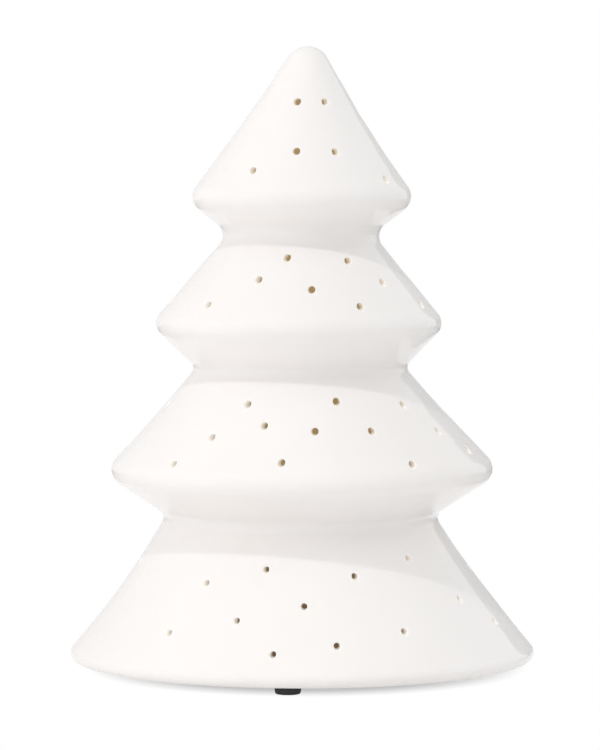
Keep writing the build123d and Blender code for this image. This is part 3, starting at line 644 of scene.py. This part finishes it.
# Cells: shares of the length and the wrap from there on, from the flat end to the raised one
CELL_HALF_LENGTH = 0.025
CELL_WRAP = (
    (0.0, (0.6, 0.6, 0.58)), (0.12, (0.025, 0.027, 0.03)), (0.74, (0.03, 0.032, 0.036)),
    (0.75, (0.46, 0.22, 0.08)), (0.96, (0.5, 0.25, 0.1)), (0.975, (0.66, 0.65, 0.62)),
)
CELL_SCUFFS = (800.0, 3.0, 0.6)
CELL_ROUGHNESS = (0.22, 0.4)
CELL_METALLIC = 0.6
CELL_RELIEF = 0.00001


def cell_material(name, facing):
    """Dark wrapped can with a copper band by its raised end."""
    material, tree_nodes, links, shader = new_material(name)
    ends = (-CELL_HALF_LENGTH * facing, CELL_HALF_LENGTH * facing)
    along = range_node(tree_nodes, links, axis_node(tree_nodes, links, "X"), before=ends)
    links.new(ramp_node(tree_nodes, links, along, CELL_WRAP, "CONSTANT"), shader.inputs["Base Color"])
    scuff = noise_node(tree_nodes, links, *CELL_SCUFFS)
    links.new(range_node(tree_nodes, links, scuff, after=CELL_ROUGHNESS), shader.inputs["Roughness"])
    shader.inputs["Metallic"].default_value = CELL_METALLIC
    bump_node(tree_nodes, links, shader, scuff, CELL_RELIEF)
    return material


# Plain finishes: darker and lighter shade, scale of the grain, roughness, relief and, for metal, how metallic
FINISHES = {
    "foot_rubber": ((0.018, 0.018, 0.019), (0.04, 0.04, 0.042), 900.0, (0.55, 0.8), 0.00008),
    "silicone": ((0.62, 0.62, 0.61), (0.7, 0.7, 0.69), 500.0, (0.45, 0.6), 0.00005),
    "white_plastic": ((0.72, 0.715, 0.70), (0.78, 0.775, 0.76), 1400.0, (0.38, 0.55), 0.00003),
    "dark_plastic": ((0.02, 0.02, 0.022), (0.045, 0.045, 0.048), 1600.0, (0.35, 0.55), 0.00003),
    "nickel": ((0.56, 0.55, 0.52), (0.70, 0.69, 0.66), 700.0, (0.2, 0.38), 0.00001, 1.0),
    "board_green": ((0.008, 0.075, 0.03), (0.016, 0.13, 0.05), 420.0, (0.25, 0.4), 0.00003),
    "chip_black": ((0.012, 0.012, 0.013), (0.03, 0.03, 0.032), 2600.0, (0.5, 0.7), 0.00002),
    "can_metal": ((0.6, 0.6, 0.6), (0.74, 0.74, 0.74), 900.0, (0.22, 0.36), 0.00001, 1.0),
    "reflector_white": ((0.8, 0.8, 0.79), (0.86, 0.86, 0.85), 800.0, (0.3, 0.45), 0.00002),
    "red_insulation": ((0.42, 0.015, 0.012), (0.55, 0.03, 0.02), 600.0, (0.35, 0.5), 0.00002),
    "black_insulation": ((0.012, 0.012, 0.012), (0.03, 0.03, 0.03), 600.0, (0.35, 0.5), 0.00002),
    "yellow_insulation": ((0.6, 0.40, 0.02), (0.72, 0.5, 0.04), 600.0, (0.35, 0.5), 0.00002),
    "white_insulation": ((0.7, 0.7, 0.68), (0.8, 0.8, 0.78), 600.0, (0.35, 0.5), 0.00002),
}
MATERIALS = {name: plain_material(name, *finish) for name, finish in FINISHES.items()}
MATERIALS["led_lens"] = lens_material()
MATERIALS["cell_wrap_east"] = cell_material("cell_wrap_east", 1)
MATERIALS["cell_wrap_west"] = cell_material("cell_wrap_west", -1)
MATERIALS["cell_wrap_far"] = cell_material("cell_wrap_far", 1)
MATERIAL_NODES = {
    "foot_rubber": ("foot_1", "foot_2", "foot_3"),
    "silicone": ("seal_ring",),
    "white_plastic": ("battery_housing", "battery_cover", "housing_cover"),
    "dark_plastic": ("switch_knob",),
    "nickel": (
        "contact_spring_1", "contact_spring_2", "contact_spring_3", "negative_terminal", "positive_terminal",
        "bridge_near", "bridge_far", "switch_body", "cover_screws", "board_screws",
    ),
    "board_green": ("circuit_board",),
    "chip_black": ("timer_chip", "resistors"),
    "can_metal": ("capacitor",),
    "led_lens": ("led_1", "led_2", "led_3"),
    "reflector_white": ("reflector",),
    "red_insulation": ("red_wire",),
    "black_insulation": ("black_wire",),
    "yellow_insulation": ("timer_wire",),
    "white_insulation": ("on_wire",),
    "cell_wrap_east": ("cell_1",),
    "cell_wrap_west": ("cell_2",),
    "cell_wrap_far": ("cell_3",),
}
for material_name, node_names in MATERIAL_NODES.items():
    for node_name in node_names:
        nodes[node_name].data.materials.clear()
        nodes[node_name].data.materials.append(MATERIALS[material_name])

# Stage, in metres: white paper that keeps the tree's shadow close to its base.
# The paper's own shade goes over to white between two distances from the middle of the shadow
FLOOR_RADIUS = 2.2
FLOOR_SIDES = 96
FLOOR_WHITE = 1.0
FLOOR_SHARE = 0.52
SHADOW_CENTRE = (0.002, 0.0, 0.0)
SHADOW_REACH = (0.0665, 0.0848)
FIBRES = (40.0, 3.0, 0.5)
PAPER_TONES = ((0.93, 0.93, 0.93), (0.945, 0.945, 0.945))
PAPER_SPECULAR = 0.1
MATT = 0.95


def seen_directly(tree_nodes, links):
    """1 for what the camera, a gloss or a clear material sees, 0 for what lights the object."""
    path = tree_nodes.new("ShaderNodeLightPath")
    total = path.outputs["Is Camera Ray"]
    for other in ("Is Glossy Ray", "Is Transmission Ray"):
        either = tree_nodes.new("ShaderNodeMath")
        either.operation = "MAXIMUM"
        links.new(total, either.inputs[0])
        links.new(path.outputs[other], either.inputs[1])
        total = either.outputs["Value"]
    return total


def paper_material():
    material, tree_nodes, links, shader = new_material("paper")
    fibre = noise_node(tree_nodes, links, *FIBRES)
    tint = ramp_node(tree_nodes, links, fibre, tuple(zip(TONE_STOPS, PAPER_TONES)))
    links.new(tint, shader.inputs["Base Color"])
    shader.inputs["Roughness"].default_value = MATT
    shader.inputs["Specular IOR Level"].default_value = PAPER_SPECULAR
    white = tree_nodes.new("ShaderNodeEmission")
    white.inputs["Strength"].default_value = FLOOR_WHITE
    spot = tree_nodes.new("ShaderNodeTexCoord")
    away = tree_nodes.new("ShaderNodeVectorMath")
    away.operation = "DISTANCE"
    away.inputs[1].default_value = SHADOW_CENTRE
    links.new(spot.outputs["Object"], away.inputs[0])
    share = range_node(tree_nodes, links, away.outputs["Value"], SHADOW_REACH, (FLOOR_SHARE, 1.0))
    part = tree_nodes.new("ShaderNodeMath")
    part.operation = "MULTIPLY"
    links.new(seen_directly(tree_nodes, links), part.inputs[0])
    links.new(share, part.inputs[1])
    blend = tree_nodes.new("ShaderNodeMixShader")
    links.new(part.outputs["Value"], blend.inputs["Fac"])
    links.new(shader.outputs["BSDF"], blend.inputs[1])
    links.new(white.outputs["Emission"], blend.inputs[2])
    links.new(blend.outputs["Shader"], tree_nodes["Material Output"].inputs["Surface"])
    return material


floor_turns = [2 * math.pi * k / FLOOR_SIDES for k in range(FLOOR_SIDES)]
floor_ring = [(FLOOR_RADIUS * math.cos(turn), FLOOR_RADIUS * math.sin(turn), 0) for turn in floor_turns]
floor_mesh = bpy.data.meshes.new("floor")
floor_mesh.from_pydata(floor_ring, [], [tuple(range(FLOOR_SIDES))])
floor_mesh.materials.append(paper_material())
floor = bpy.data.objects.new("floor", floor_mesh)
scene.collection.objects.link(floor)

# White surroundings that give a dimmer light of their own
AMBIENT = 0.7
world = bpy.data.worlds.new("studio")
world.use_nodes = True
scene.world = world
tree_nodes, links = world.node_tree.nodes, world.node_tree.links
backdrop = tree_nodes["Background"]
backdrop.inputs["Color"].default_value = (1, 1, 1, 1)
seen = seen_directly(tree_nodes, links)
links.new(range_node(tree_nodes, links, seen, after=(AMBIENT, 1.0)), backdrop.inputs["Strength"])

# Lamps: name, degrees round from the front, degrees up, distance, size, power and colour
WHITE = (1, 1, 1)
COOL_WHITE = (0.86, 0.98, 1.0)
LAMP_AIM = Vector((0, 0, 0.11))
SOFT_BOXES = (
    ("key", -26, 57, 1.5, 0.09, 3.35, WHITE),
    ("side", -64, 12, 1.5, 1.0, 4.6, WHITE),
    ("fill", 65, 45, 1.6, 1.0, 2.3, COOL_WHITE),
    ("top", 30, 76, 1.6, 1.0, 0.8, WHITE),
)


def round_lamp(name, size, power, colour):
    lamp_data = bpy.data.lights.new(name, "AREA")
    lamp_data.shape = "DISK"
    lamp_data.size = size
    lamp_data.energy = power
    lamp_data.color = colour
    lamp = bpy.data.objects.new(name, lamp_data)
    scene.collection.objects.link(lamp)
    lamp.visible_glossy = False
    return lamp


for name, azimuth, elevation, distance, size, power, colour in SOFT_BOXES:
    a, e = math.radians(azimuth), math.radians(elevation)
    towards = Vector((math.cos(e) * math.sin(a), -math.cos(e) * math.cos(a), math.sin(e)))
    lamp = round_lamp(name, size, power, colour)
    lamp.location = LAMP_AIM + distance * towards
    lamp.rotation_euler = (LAMP_AIM - lamp.location).to_track_quat("-Z", "Y").to_euler()

# Two low lamps face the paper in front, out of the frame, so that it throws light up at the undersides
WASH_POWER = 0.16
WASH_SIZE = 0.2
WASH_SIDE = 0.28
WASH_FRONT = 0.36
WASH_HEIGHT = 0.15
for side in (-1, 1):
    wash = round_lamp("wash", WASH_SIZE, WASH_POWER, WHITE)
    wash.location = (WASH_SIDE * side, -WASH_FRONT, WASH_HEIGHT)

# Grey cards that only show mirrored in the glaze, along its edges. At each side one stands behind the tree,
# and one lies on the floor from beside the tree back to it. The left ones are lighter, and a net stands there
CARD_HEIGHT = 1.2
MAT_HEIGHT = 0.002
CARDS_MEET = (0.0, 1.45)
CARD_RIGHT_END = (0.8, 1.14)
CARD_RIGHT_GREYS = (0.95, 0.45)
NET_LEFT_END = (-1.3, 0.6)
NET_LEFT_GREYS = (0.85, 0.95)
NET_LEFT_COVER = 0.5
MAT_RIGHT_CORNERS = ((0.135, 0.02), (1.0, 0.02), (1.0, 1.06), (0.25, 1.35))
MAT_RIGHT_GREYS = (0.7, 0.4)
MAT_LEFT_CORNERS = ((-0.135, 0.02), (-1.0, 0.02), (-1.0, 0.8), (-0.25, 1.29))
MAT_LEFT_GREYS = (0.9, 0.6)


def standing(end):
    """Corners of a card that stands from where the two meet to its end."""
    return [(*CARDS_MEET, 0), (*end, 0), (*end, CARD_HEIGHT), (*CARDS_MEET, CARD_HEIGHT)]


def lying(places):
    """Corners of a card that lies on the floor."""
    return [(*place, MAT_HEIGHT) for place in places]


def grey_card(name, corners, axis, greys, cover=1.0):
    """Card that shades along an axis from a first grey to a last one; a net covers less than 1."""
    card_mesh = bpy.data.meshes.new(name)
    card_mesh.from_pydata(corners, [], [(0, 1, 2, 3)])
    card = bpy.data.objects.new(name, card_mesh)
    scene.collection.objects.link(card)
    card.visible_camera = card.visible_diffuse = card.visible_shadow = False
    felt, tree_nodes, links, shader = new_material(name)
    ends = [corners[k]["XY".index(axis)] for k in (0, 2)]
    across = range_node(tree_nodes, links, axis_node(tree_nodes, links, axis), before=ends)
    stops = [(position, (grey, grey, grey)) for position, grey in enumerate(greys)]
    links.new(ramp_node(tree_nodes, links, across, stops), shader.inputs["Base Color"])
    shader.inputs["Roughness"].default_value = MATT
    shader.inputs["Alpha"].default_value = cover
    card_mesh.materials.append(felt)


grey_card("card_right", standing(CARD_RIGHT_END), "X", CARD_RIGHT_GREYS)
grey_card("net_left", standing(NET_LEFT_END), "X", NET_LEFT_GREYS, NET_LEFT_COVER)
grey_card("mat_right", lying(MAT_RIGHT_CORNERS), "Y", MAT_RIGHT_GREYS)
grey_card("mat_left", lying(MAT_LEFT_CORNERS), "Y", MAT_LEFT_GREYS)
